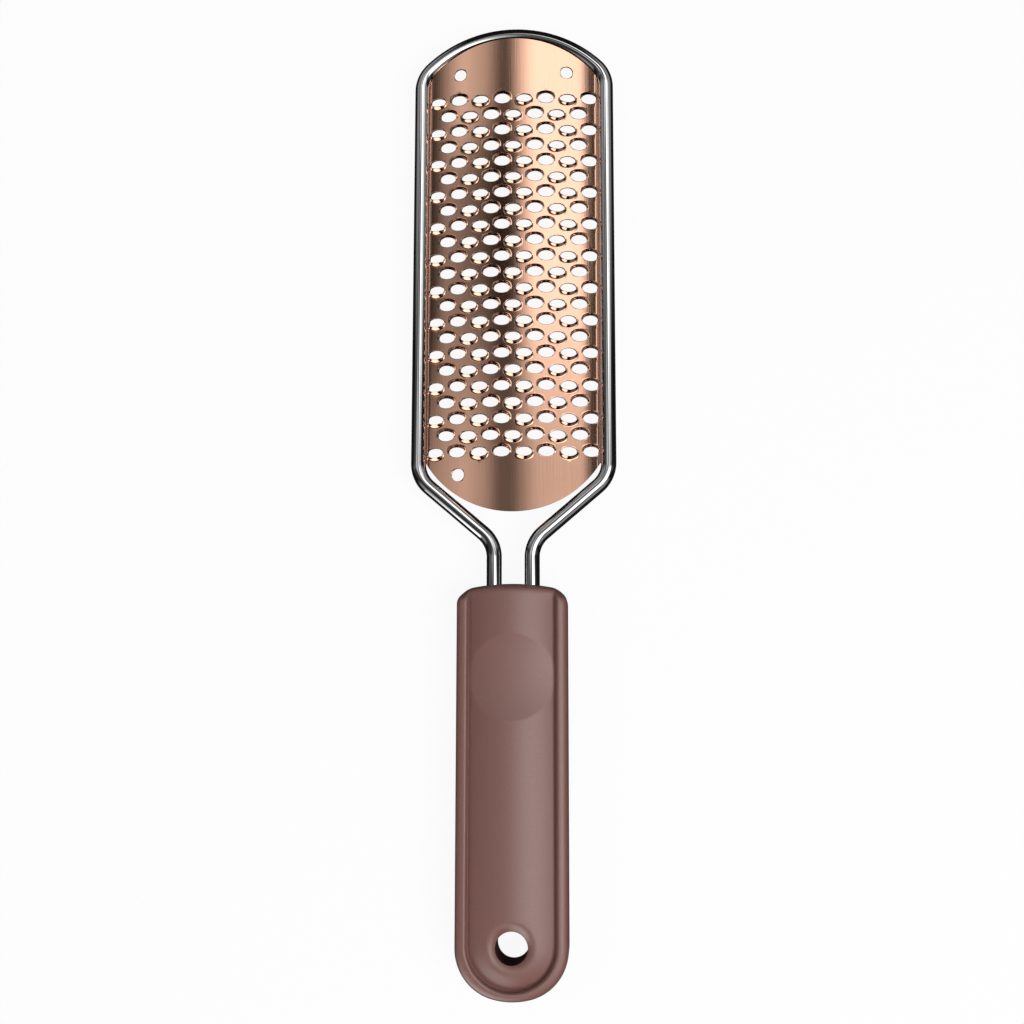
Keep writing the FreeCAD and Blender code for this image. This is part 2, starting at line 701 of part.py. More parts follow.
    # thumb hollow: dished along the handle and gently crowned across, so its rim is a circle
    reach, depth = size("thumb_diameter / 2"), size("thumb_depth")
    dish = (reach ** 2 + depth ** 2) / (2 * depth)
    across = 1 / (1 / crown_radius - 2 * depth / reach ** 2)
    low_z = crown_z - depth
    thumb_y = top_y - size("thumb_inset")
    open_z = crown_z + depth
    open_y = math.sqrt(dish ** 2 - (dish - 2 * depth) ** 2)
    open_angle = math.asin(open_y / dish)
    thumb = new_sketch(body, "thumb_section", "YZ_Plane", "0")
    pieces = [
        arc((thumb_y, low_z + dish), dish, -up - open_angle, -up + open_angle),
        line(thumb_y + open_y, open_z, thumb_y - open_y, open_z),
    ]
    chain(thumb, pieces, True)
    axis_line(thumb, thumb_y - reach, low_z - across, thumb_y + reach, low_z - across)
    sweep = 2 * math.degrees(math.asin(panel_half / across))
    groove(body, thumb, "thumb_hollow", sweep)

    # cavity for the core, the tails and the lined hanging hole
    cavity_top = f"{ROD_AXIS_Z} + core_thickness / 2 + mould_clearance"
    cavity = new_sketch(body, "core_cavity", "XY_Plane", cavity_top)
    core_plan(cavity, "mould_clearance")
    pocket(body, cavity, "cavity", "core_thickness + 2 * mould_clearance")

    entries = new_sketch(body, "tail_entries", "XZ_Plane", "-" + HANDLE_TOP_Y + " + 2 * core_top_inset")
    for sign in ("-", ""):
        circle(entries, sign + "tail_spacing / 2", ROD_AXIS_Z, "rod_diameter / 2 + mould_clearance")
    pocket(body, entries, "entries", "2 * core_top_inset + cut_overrun")

    hole_y = size(HOLE_Y)
    ring_r = size("hole_diameter / 2 + hole_ring")
    boss_r = size("hole_diameter / 2 + boss_wall + mould_clearance")
    flare_r, flare = size("flare_diameter / 2"), size("flare_depth")
    back_flare = size("back_flare_depth")
    roof, floor_low = crown_z - flare + size("mould_clearance"), back_flare - size("mould_clearance")
    over_z = size("cut_overrun")
    roll = ((flare_r - ring_r) ** 2 + flare ** 2) / (2 * flare)
    roll_z = crown_z - roll
    tip = math.acos((roof - roll_z) / roll)
    lip_r = flare_r - roll * math.sin(tip)
    well = new_sketch(body, "hole_section", "YZ_Plane", "0")
    corners = [
        (lip_r, roof),
        (boss_r, roof),
        (boss_r, floor_low),
        (ring_r, floor_low),
        (ring_r + back_flare, 0),
        (ring_r + back_flare, -over_z),
        (0, -over_z),
        (0, crown_z + over_z),
        (flare_r, crown_z + over_z),
        (flare_r, crown_z),
    ]
    pieces = [line(hole_y + r0, z0, hole_y + r1, z1) for (r0, z0), (r1, z1) in zip(corners, corners[1:])]
    pieces.append(arc((hole_y + flare_r, roll_z), roll, up, up + tip))
    chain(well, pieces, True)
    axis_line(well, hole_y, -over_z, hole_y, crown_z + over_z)
    groove(body, well, "hanging_hole", 360)
    return body


wire_frame = make_wire_frame()
blade_sheet = make_blade_sheet()
rasp_blade = make_rasp_blade(blade_sheet)
handle_core = make_handle_core()
handle_grip = make_handle_grip()
doc.recompute()

# Nothing is written unless every object is sound
for item in doc.Objects:
    if "Invalid" in item.State or "Error" in item.State:
        raise RuntimeError("%s is %s" % (item.Name, item.State))
os.makedirs("parts", exist_ok=True)
for piece in (wire_frame, rasp_blade, handle_core, handle_grip):
    shape = piece.Shape
    if shape.isNull() or not shape.isValid() or len(shape.Solids) != 1:
        raise RuntimeError("%s has no single sound solid" % piece.Label)
    shape.exportStep("parts/%s.step" % piece.Label)
    box = shape.BoundBox
    print("%-12s volume %9.1f  x %7.2f..%7.2f  y %7.2f..%7.2f  z %6.2f..%6.2f" % (
        piece.Label, shape.Volume, box.XMin, box.XMax, box.YMin, box.YMax, box.ZMin, box.ZMax))
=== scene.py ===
import math

import bmesh
import bpy
from mathutils import Matrix, Vector, geometry


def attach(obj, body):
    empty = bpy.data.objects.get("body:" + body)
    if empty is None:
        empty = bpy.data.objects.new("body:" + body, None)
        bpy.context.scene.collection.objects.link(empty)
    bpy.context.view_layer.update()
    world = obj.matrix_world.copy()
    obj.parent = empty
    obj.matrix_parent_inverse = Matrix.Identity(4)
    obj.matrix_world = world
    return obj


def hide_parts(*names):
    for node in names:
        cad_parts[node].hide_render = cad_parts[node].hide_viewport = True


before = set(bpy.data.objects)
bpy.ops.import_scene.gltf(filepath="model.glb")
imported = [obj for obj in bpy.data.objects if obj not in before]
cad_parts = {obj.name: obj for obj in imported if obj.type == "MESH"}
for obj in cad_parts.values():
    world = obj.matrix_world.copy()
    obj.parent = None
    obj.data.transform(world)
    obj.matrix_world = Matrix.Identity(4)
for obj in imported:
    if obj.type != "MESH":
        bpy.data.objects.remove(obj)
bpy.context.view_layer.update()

# Sizes of the tool and places of the camera are in millimetres, brought to metres by this factor.
MM = 0.001
BODY = "root"

# Camera, as fitted to the rows of slots in the photograph.
CAMERA_EYE = (21.09, -56.37, 363.7)
CAMERA_AIM = (-0.14, -6.35, 10.45)
CAMERA_ROLL = math.radians(0.08)
CAMERA_LENS = 48.0
CAMERA_SENSOR = 36.0
CAMERA_CLIP = 10.0

# Points this close are welded, and edges above these angles in degrees stay sharp.
WELD_GAP = 0.0005
ROD_SHARP = 50
BLADE_SHARP = 55
GRIP_SHARP = 40

# Ends of the tool and of its handle.
TIP_Y = 129.35
GRIP_END_Y = -129.35
GRIP_TOP_Y = -25.35

# Wire frame.
ROD_RADIUS = 2.0
ROD_AXIS_Z = 7.25
ROD_SIDES = 40
BEND_RADIUS = 8.4
BEND_STEP = math.radians(3.0)
NECK_TURN = math.radians(49.5)
TAIL_X = 5.0
TAIL_ROUND_LENGTH = 58.0
TAIL_FLAT_LENGTH = 8.0
TAIL_END_Y = GRIP_TOP_Y - TAIL_ROUND_LENGTH - TAIL_FLAT_LENGTH
TAIL_FLAT_HALF_WIDTH = 2.7
TAIL_FLAT_HALF_THICKNESS = 1.15
TAIL_FLAT_STEPS = 4
SIDE_X = 25.3
NECK_LENGTH = 7.49
NECK_Y = GRIP_TOP_Y + NECK_LENGTH
LEG_RUN = SIDE_X - TAIL_X - 2 * BEND_RADIUS * (1 - math.cos(NECK_TURN))
SHOULDER_Y = NECK_Y + 2 * BEND_RADIUS * math.sin(NECK_TURN) + LEG_RUN / math.tan(NECK_TURN)
HEAD_ARC_RADIUS = 32.5
HEAD_ARC_Y = TIP_Y - ROD_RADIUS - HEAD_ARC_RADIUS
CORNER_X = SIDE_X - BEND_RADIUS
CORNER_Y = HEAD_ARC_Y + math.sqrt((HEAD_ARC_RADIUS - BEND_RADIUS) ** 2 - CORNER_X ** 2)

# Rasp blade.
SHEET = 0.45
ARCH_RADIUS = 112.0
CROWN_Z = 10.45
BLADE_HALF = 23.27
FOLD_RADIUS = 0.95
FLANGE_Z = 5.65
TOP_ARC_RADIUS = 30.47
TOP_CORNER_RADIUS = 6.37
END_ARC_RADIUS = 26.964
END_ARC_Y = SHOULDER_Y + math.sqrt(END_ARC_RADIUS ** 2 - BLADE_HALF ** 2)
PILOT_RADIUS = 1.7
PILOT_X = 14.6
PILOT_INSET = 9.9
PILOT_TOP_Y = HEAD_ARC_Y + TOP_ARC_RADIUS - PILOT_INSET
PILOT_LOW_Y = END_ARC_Y - END_ARC_RADIUS + PILOT_INSET
ROWS = 23
ROW_PITCH = 4.46
COLUMNS = 8
COLUMN_PITCH = 5.96
FIRST_ROW_INSET = 17.4
FIRST_ROW_Y = HEAD_ARC_Y + TOP_ARC_RADIUS - FIRST_ROW_INSET
FIELD_TOP_Y = FIRST_ROW_Y + ROW_PITCH / 2
FIELD_LOW_Y = FIELD_TOP_Y - ROWS * ROW_PITCH
SLOT_HALF_LENGTH = 2.15
SLOT_HALF_WIDTH = 1.3

# Lips: the slope's reach at the middle and at the ends of a slot, and powers that shape the rise.
LIP_HEIGHT = 0.75
LIP_FOOT = 0.88
LIP_RIM = 0.4
LIP_BEND = 1.3
LIP_TAPER = 0.65
EDGE_EASE = 0.05

# Grid of the flat sheet: each slot has a cell, and each tooling hole takes a block of cells at an end.
CELL_COLUMNS = 14
CELL_ROWS = 8
END_ROWS = 12
FLANGE_COLUMNS = 3
PILOT_COLUMN = 3
PILOT_TOP_ROWS = (3, 8)
PILOT_LOW_ROWS = (2, 8)
PLACE_DIGITS = 4
RING_FRACTIONS = (0.0, 0.05, 0.16, 0.3, 0.45, 0.6, 0.75, 0.88, 1.0)


def mesh_object(name, points, faces, sharp_degrees):
    """A welded, smooth-shaded mesh object from points in millimetres."""
    mesh = bpy.data.meshes.new(name)
    mesh.from_pydata([tuple(c * MM for c in p) for p in points], [], faces)
    work = bmesh.new()
    work.from_mesh(mesh)
    bmesh.ops.remove_doubles(work, verts=work.verts, dist=WELD_GAP * MM)
    bmesh.ops.dissolve_degenerate(work, edges=work.edges, dist=WELD_GAP * MM)
    bmesh.ops.recalc_face_normals(work, faces=work.faces)
    work.to_mesh(mesh)
    work.free()
    mesh.shade_smooth()
    mesh.set_sharp_from_angle(angle=math.radians(sharp_degrees))
    piece = bpy.data.objects.new(name, mesh)
    bpy.context.scene.collection.objects.link(piece)
    return piece


class Skin:
    """Points in millimetres and the faces between them."""

    def __init__(self):
        self.points = []
        self.faces = []

    def add(self, place):
        self.points.append(place)
        return len(self.points) - 1

    def closed_ring(self, places):
        """Numbers of new points, with the first one again at the end."""
        ring = [self.add(place) for place in places]
        return ring + ring[:1]

    def grid(self, rows):
        """Quads between rows of point numbers."""
        for upper, lower in zip(rows, rows[1:]):
            for i in range(len(upper) - 1):
                self.faces.append((upper[i], upper[i + 1], lower[i + 1], lower[i]))


# The frame's rod follows lines and arcs in plan.
def arc(centre, radius, start, stop):
    """Points and headings along an arc, from one angle to another."""
    steps = max(2, math.ceil(abs(stop - start) / BEND_STEP))
    turn = math.copysign(1.0, stop - start)
    found = []
    for i in range(steps + 1):
        angle = start + (stop - start) * i / steps
        place = (centre[0] + radius * math.cos(angle), centre[1] + radius * math.sin(angle))
        heading = (-turn * math.sin(angle), turn * math.cos(angle))
        found.append((place, heading))
    return found


def rod_half_path():
    """The right half of the rod's centre line, from its tail to the tip."""
    up = (0.0, 1.0)
    path = []
    for i in range(TAIL_FLAT_STEPS + 1):
        path.append(((TAIL_X, TAIL_END_Y + TAIL_FLAT_LENGTH * i / TAIL_FLAT_STEPS), up))
    neck = (TAIL_X + BEND_RADIUS, NECK_Y)
    path += arc(neck, BEND_RADIUS, math.pi, math.pi - NECK_TURN)
    shoulder = (CORNER_X, SHOULDER_Y)
    path += arc(shoulder, BEND_RADIUS, -NECK_TURN, 0.0)
    corner = (CORNER_X, CORNER_Y)
    meet = math.atan2(CORNER_Y - HEAD_ARC_Y, CORNER_X)
    path += arc(corner, BEND_RADIUS, 0.0, meet)
    path += arc((0.0, HEAD_ARC_Y), HEAD_ARC_RADIUS, meet, math.pi / 2)[1:]
    return path


def rod_ring(place, heading):
    """Points round the rod, which is flattened towards the ends of its tails."""
    across = (heading[1], -heading[0])
    flat = min(1.0, max(0.0, (TAIL_END_Y + TAIL_FLAT_LENGTH - place[1]) / TAIL_FLAT_LENGTH))
    flat = math.sin(flat * math.pi / 2)
    wide = ROD_RADIUS + (TAIL_FLAT_HALF_WIDTH - ROD_RADIUS) * flat
    high = ROD_RADIUS + (TAIL_FLAT_HALF_THICKNESS - ROD_RADIUS) * flat
    ring = []
    for i in range(ROD_SIDES):
        angle = 2 * math.pi * i / ROD_SIDES
        out = wide * math.cos(angle)
        ring.append((place[0] + across[0] * out, place[1] + across[1] * out,
                     ROD_AXIS_Z + high * math.sin(angle)))
    return ring


def make_wire_frame():
    right = rod_half_path()
    left = [((-p[0], p[1]), (h[0], -h[1])) for p, h in reversed(right[:-1])]
    skin = Skin()
    rings = [skin.closed_ring(rod_ring(place, heading)) for place, heading in right + left]
    skin.grid(rings)
    skin.faces.append(tuple(rings[0][:-1]))
    skin.faces.append(tuple(rings[-1][:-1]))
    return mesh_object("frame_rod", skin.points, skin.faces, ROD_SHARP)


# The blade is meshed flat, in distance along its section and place along the tool, then bent.
FOLD_LEAN = math.asin((BLADE_HALF - FOLD_RADIUS) / (ARCH_RADIUS - FOLD_RADIUS))
FOLD_START = ARCH_RADIUS * FOLD_LEAN
FOLD_END = FOLD_START + FOLD_RADIUS * (math.pi / 2 - FOLD_LEAN)
FOLD_CENTRE_Z = CROWN_Z - ARCH_RADIUS + (ARCH_RADIUS - FOLD_RADIUS) * math.cos(FOLD_LEAN)
FLANGE_END = FOLD_END + FOLD_CENTRE_Z - FLANGE_Z


def section(along, depth):
    """Plan X and height of a point of the bent sheet, that far below its top face."""
    side = math.copysign(1.0, along)
    reach = abs(along)
    if reach <= FOLD_START:
        lean = reach / ARCH_RADIUS
        x = (ARCH_RADIUS - depth) * math.sin(lean)
        z = CROWN_Z - ARCH_RADIUS + (ARCH_RADIUS - depth) * math.cos(lean)
    elif reach <= FOLD_END:
        lean = FOLD_LEAN + (reach - FOLD_START) / FOLD_RADIUS
        x = BLADE_HALF - FOLD_RADIUS + (FOLD_RADIUS - depth) * math.sin(lean)
        z = FOLD_CENTRE_Z + (FOLD_RADIUS - depth) * math.cos(lean)
    else:
        x = BLADE_HALF - depth
        z = FOLD_CENTRE_Z - (reach - FOLD_END)
    return side * x, z


def top_edge(along):
    """Where the sheet's outline ends at the tip."""
    x = abs(section(along, 0.0)[0])
    join = TOP_ARC_RADIUS * CORNER_X / (HEAD_ARC_RADIUS - BEND_RADIUS)
    if x <= join:
        return HEAD_ARC_Y + math.sqrt(TOP_ARC_RADIUS ** 2 - x ** 2)
    over = min(x - CORNER_X, TOP_CORNER_RADIUS)
    return CORNER_Y + math.sqrt(TOP_CORNER_RADIUS ** 2 - over ** 2)


def low_edge(along):
    """Where the sheet's outline ends above the neck."""
    x = abs(section(along, 0.0)[0])
    return END_ARC_Y - math.sqrt(END_ARC_RADIUS ** 2 - x ** 2)


def lip_lift(across, up):
    """How far a punched lip lifts the sheet; the lip lies on the side that up counts towards."""
    wide = across / SLOT_HALF_LENGTH
    high = up / SLOT_HALF_WIDTH
    turn = math.atan2(high, wide)
    rise = max(0.0, math.sin(turn))
    if rise == 0.0:
        return 0.0
    edge = math.hypot(SLOT_HALF_LENGTH * math.cos(turn), SLOT_HALF_WIDTH * rise)
    spread = LIP_RIM + (LIP_FOOT - LIP_RIM) * rise
    fade = (math.hypot(wide, high) - 1.0) * edge / spread
    if fade >= 1.0:
        return 0.0
    return LIP_HEIGHT * rise ** LIP_TAPER * (1.0 - max(fade, 0.0)) ** LIP_BEND


class Sheet:
    """Flat points with a lift, and the quads between them."""

    def __init__(self):
        self.points = []
        self.quads = []
        self.known = {}

    def point(self, along, y, lift):
        key = (round(along, PLACE_DIGITS), round(y, PLACE_DIGITS))
        if key not in self.known:
            self.known[key] = len(self.points)
            self.points.append((along, y, lift))
        return self.known[key]

    def plain(self, columns, row_y, skip):
        """A grid whose rows are given by a function of the column and the row number."""
        for j in range(row_y.rows):
            for i in range(len(columns) - 1):
                if any(a <= i < b and c <= j < d for a, b, c, d in skip):
                    continue
                corners = ((i, j), (i + 1, j), (i + 1, j + 1), (i, j + 1))
                quad = [self.point(columns[a], row_y(columns[a], b), 0.0) for a, b in corners]
                self.quads.append(tuple(quad))

    def holed(self, loop, centre, half_length, half_width, lift):
        """A cell with an oval hole, between the hole's edge and a loop of places."""
        count = len(loop)
        rings = []
        for fraction in RING_FRACTIONS:
            ring = []
            for along, y in loop:
                turn = math.atan2((y - centre[1]) / half_width, (along - centre[0]) / half_length)
                inner = (centre[0] + half_length * math.cos(turn), centre[1] + half_width * math.sin(turn))
                place = (inner[0] + (along - inner[0]) * fraction, inner[1] + (y - inner[1]) * fraction)
                height = lift(place[0] - centre[0], place[1] - centre[1])
                if fraction == 0.0:
                    height -= EDGE_EASE
                if fraction == 1.0:
                    place = (along, y)
                    height = 0.0
                ring.append(self.point(place[0], place[1], height))
            rings.append(ring)
        for inner, outer in zip(rings, rings[1:]):
            for i in range(count):
                k = (i + 1) % count
                self.quads.append((inner[i], outer[i], outer[k], inner[k]))


class Fan:
    """Rows of a region between two edges that depend on the column."""

    def __init__(self, start, stop, rows):
        self.start = start
        self.stop = stop
        self.rows = rows

    def __call__(self, along, row):
        first = self.start(along)
        return first + (self.stop(along) - first) * row / self.rows


def loop_round(columns, row_y, i0, i1, j0, j1):
    """The places round a block of a grid, in order."""
    ring = [(i, j0) for i in range(i0, i1)] + [(i1, j) for j in range(j0, j1)]
    ring += [(i, j1) for i in range(i1, i0, -1)] + [(i0, j) for j in range(j1, j0, -1)]
    return [(columns[i], row_y(columns[i], j)) for i, j in ring]


def no_lift(across, up):
    return 0.0


def blade_columns():
    """Distances along the section that divide the flat sheet: cells between two flanges."""
    step = COLUMN_PITCH / CELL_COLUMNS
    reach = COLUMNS * CELL_COLUMNS // 2
    inner = [step * i for i in range(-reach, reach + 1)]
    last = inner[-1]
    outer = [last + (FLANGE_END - last) * k / FLANGE_COLUMNS for k in range(1, FLANGE_COLUMNS + 1)]
    return [-value for value in reversed(outer)] + inner + outer


def add_solid_ends(sheet, columns):
    """The plain ends of the blade, with their round tooling holes."""
    left = FLANGE_COLUMNS + (COLUMNS // 2 - PILOT_COLUMN) * CELL_COLUMNS
    right = FLANGE_COLUMNS + (COLUMNS // 2 + PILOT_COLUMN - 1) * CELL_COLUMNS
    reach = ARCH_RADIUS * math.asin(PILOT_X / ARCH_RADIUS)
    top = Fan(lambda along: FIELD_TOP_Y, top_edge, END_ROWS)
    low = Fan(lambda along: FIELD_LOW_Y, low_edge, END_ROWS)
    ends = ((top, PILOT_TOP_ROWS, PILOT_TOP_Y, ((left, -reach), (right, reach))),
            (low, PILOT_LOW_ROWS, PILOT_LOW_Y, ((left, -reach),)))
    for fan, rows, y, cells in ends:
        blocks = []
        for start, along in cells:
            block = (start, start + CELL_COLUMNS, *rows)
            loop = loop_round(columns, fan, *block)
            sheet.holed(loop, (along, y), PILOT_RADIUS, PILOT_RADIUS, no_lift)
            blocks.append(block)
        sheet.plain(columns, fan, blocks)


def add_slot_rows(sheet, columns):
    """The rows of lipped slots, every other row moved by half a column."""
    for row in range(ROWS):
        short = row % 2
        y = FIRST_ROW_Y - row * ROW_PITCH
        band = Fan(lambda along, y=y: y + ROW_PITCH / 2, lambda along, y=y: y - ROW_PITCH / 2, CELL_ROWS)
        blocks = []
        for column in range(COLUMNS - short):
            start = FLANGE_COLUMNS + column * CELL_COLUMNS + short * CELL_COLUMNS // 2
            block = (start, start + CELL_COLUMNS, 0, CELL_ROWS)
            along = (column - (COLUMNS - short - 1) / 2) * COLUMN_PITCH
            way = 1 if (column + short) % 2 else -1
            loop = loop_round(columns, band, *block)
            sheet.holed(loop, (along, y), SLOT_HALF_LENGTH, SLOT_HALF_WIDTH,
                        lambda across, up, way=way: lip_lift(across, up * way))
            blocks.append(block)
        sheet.plain(columns, band, blocks)


def make_blade():
    columns = blade_columns()
    sheet = Sheet()
    add_solid_ends(sheet, columns)
    add_slot_rows(sheet, columns)

    # both faces of the sheet
    points = []
    for depth in (0.0, SHEET):
        for along, y, lift in sheet.points:
            x, z = section(along, depth - lift)
            points.append((x, y, z))
    count = len(sheet.points)
    faces = list(sheet.quads)
    faces += [tuple(i + count for i in reversed(quad)) for quad in sheet.quads]

    # walls along the edges, which only one quad uses
    used = {}
    for quad in sheet.quads:
        for a, b in zip(quad, quad[1:] + quad[:1]):
            used.setdefault((min(a, b), max(a, b)), []).append((a, b))
    for edge in used.values():
        if len(edge) == 1:
            a, b = edge[0]
            faces.append((b, a, a + count, b + count))
    return mesh_object("rasp_sheet", points, faces, BLADE_SHARP)


# Soft grip: outline, panel, rim and back.
GRIP_HALF = 14.3
GRIP_HIGH = 14.5
TOP_SAG_RADIUS = 65.0
TOP_SAG_REACH = 20.0
TOP_CORNER = 4.2
TOP_EDGE = 2.4
TOP_FADE = 3.4
TOP_EVEN_SHARE = 0.75
END_RADIUS = 19.3
END_CORNER_RADIUS = 12.6
END_OFFSET = GRIP_HALF - END_CORNER_RADIUS
CORNER_LOW_Y = GRIP_END_Y + END_RADIUS - math.sqrt((END_RADIUS - END_CORNER_RADIUS) ** 2 - END_OFFSET ** 2)
END_JOIN_X = END_OFFSET * END_RADIUS / (END_RADIUS - END_CORNER_RADIUS)
PANEL_END_INSET = 13.7
PANEL_Y = GRIP_END_Y + PANEL_END_INSET
PANEL_REACH = 10.8
PANEL_EDGE_IN = 0.03
PANEL_EDGE_DROP = 0.05
CROWN_HALF = 11.0
CROWN_RISE = 2.4
CROWN_RADIUS = (CROWN_HALF ** 2 + CROWN_RISE ** 2) / (2 * CROWN_RISE)
GROOVE_Z = 12.02
GROOVE_EASE = 0.1
RIM_INNER = 11.3
RIM_FOOT = 0.15
RIM_TOP_Z = 13.8
RIM_INNER_ROUND = 0.7
RIM_OUTER_DROP = 1.5
BACK_ROUND = 3.0
BACK_PULL = 0.45

# Thumb hollow and hanging hole.
THUMB_INSET = 23.95
THUMB_Y = GRIP_TOP_Y - THUMB_INSET
THUMB_REACH = 11.1
THUMB_DEPTH = 1.2
THUMB_SOFT = 0.03
HOLE_INSET = 12.95
HOLE_Y = GRIP_END_Y + HOLE_INSET
HOLE_RING = 4.12
BOSS_RADIUS = 5.63
BOSS_TOP_Z = 13.03
BOSS_LOW_Z = 1.17
FLARE_REACH = 7.1
FLARE_POWER = 2.1
FLARE_OVERRUN = 0.6
BACK_FLARE = 1.45
BACK_HOLE = HOLE_RING + BACK_FLARE

# Steps and spacings of the grip's mesh.
TOP_INSETS = (0.0, 0.1, 0.35, 0.7, 1.15, 1.7, 2.4, 3.2, 4.2, 5.5)
SIDE_STEP = 1.5
END_STEPS = 56
RIM_INNER_STEPS = 5
RIM_OUTER_STEPS = 9
WALL_PARTS = (0.66, 0.33, 0.0)
BACK_EDGE_STEPS = 5
PANEL_STEP = 0.75
PANEL_COLUMNS = math.ceil(2 * PANEL_REACH / PANEL_STEP)
PANEL_MARGIN = 0.35
PANEL_KEEP = PANEL_REACH - PANEL_MARGIN
RING_GAP = 0.3
THUMB_SIDES = 110
THUMB_SPREAD = 3
THUMB_RINGS = [THUMB_REACH + RING_GAP * k for k in range(-THUMB_SPREAD, THUMB_SPREAD + 1)]
HOLE_SIDES = 56
FLARE_STEPS = 9
FLARE_RIM = FLARE_REACH + FLARE_OVERRUN
FLARE_RINGS = [HOLE_RING + (FLARE_RIM - HOLE_RING) * k / FLARE_STEPS for k in range(FLARE_STEPS + 1)]
BACK_STEP = 8.0
BACK_STEPS = 9
OUTLINE_GAP = 0.05
CUT_TOLERANCE = 1e-6
INSIDE_SHARE = 0.99


def smooth(value):
    """Eased step from 0 to 1."""
    value = min(1.0, max(0.0, value))
    return value * value * (3.0 - 2.0 * value)


def crown_z(reach):
    return GRIP_HIGH - CROWN_RADIUS + math.sqrt(CROWN_RADIUS ** 2 - reach ** 2)


def from_spine(x, y):
    """Distance from the panel's middle line or, at its round end, from that line's end."""
    return abs(x) if y >= PANEL_Y else math.hypot(x, y - PANEL_Y)


def panel_z(x, y):
    """Height of the crowned panel, with its thumb hollow and the flare of the hanging hole."""
    z = crown_z(min(from_spine(x, y), CROWN_HALF))
    raw = THUMB_DEPTH * (1.0 - (math.hypot(x, y - THUMB_Y) / THUMB_REACH) ** 2)
    z -= (raw + math.hypot(raw, THUMB_SOFT)) / 2
    from_hole = math.hypot(x, y - HOLE_Y)
    if from_hole < FLARE_REACH:
        blend = min(1.0, (FLARE_REACH - from_hole) / (FLARE_REACH - HOLE_RING)) ** FLARE_POWER
        z += (BOSS_TOP_Z - z) * blend
    return z


def top_drop(x, y, z):
    """Height after the rounded top edge, where rim and groove fade out."""
    inset = GRIP_TOP_Y - y
    if inset >= TOP_FADE:
        return z
    even = GRIP_HIGH - CROWN_RISE * TOP_EVEN_SHARE * (x / CROWN_HALF) ** 2
    z += (even - z) * smooth(1.0 - inset / TOP_FADE)
    if inset < TOP_EDGE:
        z -= TOP_EDGE - math.sqrt(TOP_EDGE ** 2 - (TOP_EDGE - inset) ** 2)
    return z


def grip_plan(x, y):
    """Plan place after the rounded corners and the arched top edge."""
    inset = GRIP_TOP_Y - y
    flat = GRIP_HALF - TOP_CORNER
    out = (abs(x) - flat) / TOP_CORNER
    up = 1.0 - inset / TOP_CORNER
    if out > 0.0 and up > 0.0:
        x = math.copysign(flat + TOP_CORNER * out * math.sqrt(1.0 - up * up / 2), x)
        inset = TOP_CORNER * (1.0 - up * math.sqrt(1.0 - out * out / 2))
    sag = TOP_SAG_RADIUS - math.sqrt(TOP_SAG_RADIUS ** 2 - x * x)
    fade = max(0.0, 1.0 - inset / TOP_SAG_REACH) ** 2
    return x, GRIP_TOP_Y - inset - sag * fade


def end_reach(angle):
    """Distance from the panel's round end to the outline, by angle below the X axis."""
    out, down = abs(math.cos(angle)), math.sin(angle)
    if out > 0.0:
        reach = GRIP_HALF / out
        if PANEL_Y - reach * down >= CORNER_LOW_Y:
            return reach

    def meet(cx, cy, radius):
        along = cx * out - (cy - PANEL_Y) * down
        off = cx * cx + (cy - PANEL_Y) ** 2 - along * along
        return along + math.sqrt(radius ** 2 - off)

    reach = meet(END_OFFSET, CORNER_LOW_Y, END_CORNER_RADIUS)
    if reach * out >= END_JOIN_X:
        return reach
    return meet(0.0, GRIP_END_Y + END_RADIUS, END_RADIUS)


def rim_profile(reach):
    """Reach and height across groove and rim, from the panel to the top of the outer wall."""
    crest = RIM_INNER + RIM_INNER_ROUND
    found = [(CROWN_HALF - PANEL_EDGE_IN, crown_z(CROWN_HALF) - PANEL_EDGE_DROP),
             (CROWN_HALF + GROOVE_EASE, GROOVE_Z), (RIM_INNER - GROOVE_EASE, GROOVE_Z),
             (RIM_INNER, GROOVE_Z + RIM_FOOT)]
    for i in range(RIM_INNER_STEPS + 1):
        turn = math.pi / 2 * i / RIM_INNER_STEPS
        found.append((crest - RIM_INNER_ROUND * math.cos(turn),
                      RIM_TOP_Z - RIM_INNER_ROUND * (1 - math.sin(turn))))
    for i in range(1, RIM_OUTER_STEPS + 1):
        turn = math.pi / 2 * i / RIM_OUTER_STEPS
        found.append((crest + (reach - crest) * math.sin(turn),
                      RIM_TOP_Z - RIM_OUTER_DROP * (1 - math.cos(turn))))
    return found


def back_edge(edge_z):
    """Inset and height down the outer wall and round the back edge."""
    wall = [(0.0, BACK_ROUND + (edge_z - BACK_ROUND) * part) for part in WALL_PARTS]
    for i in range(1, BACK_EDGE_STEPS + 1):
        part = i / BACK_EDGE_STEPS
        pull = 2 * part * (1 - part) * BACK_PULL
        wall.append((pull + part * part * BACK_ROUND, (1 - part) ** 2 * BACK_ROUND + pull))
    return wall


def circle_points(y, radius, sides):
    """Points round a circle on the handle's middle line."""
    turns = [2 * math.pi * i / sides for i in range(sides)]
    return [(radius * math.cos(turn), y + radius * math.sin(turn)) for turn in turns]


def flat_mesh(outline, hole_radius, inside):
    """Triangles between an outline and the hanging hole, with points inside them."""
    places = []
    edges = []
    for loop in (outline, circle_points(HOLE_Y, hole_radius, HOLE_SIDES)):
        first = len(places)
        count = len(loop)
        places += loop
        edges += [(first + i, first + (i + 1) % count) for i in range(count)]
    places += inside
    made = geometry.delaunay_2d_cdt([Vector(p) for p in places], edges, [], 1, CUT_TOLERANCE)
    corners = [tuple(p) for p in made[0]]
    faces = []
    for face in made[2]:
        x = sum(corners[i][0] for i in face) / len(face)
        y = sum(corners[i][1] for i in face) / len(face)
        if math.hypot(x, y - HOLE_Y) >= hole_radius * INSIDE_SHARE:
            faces.append(face)
    return corners, faces


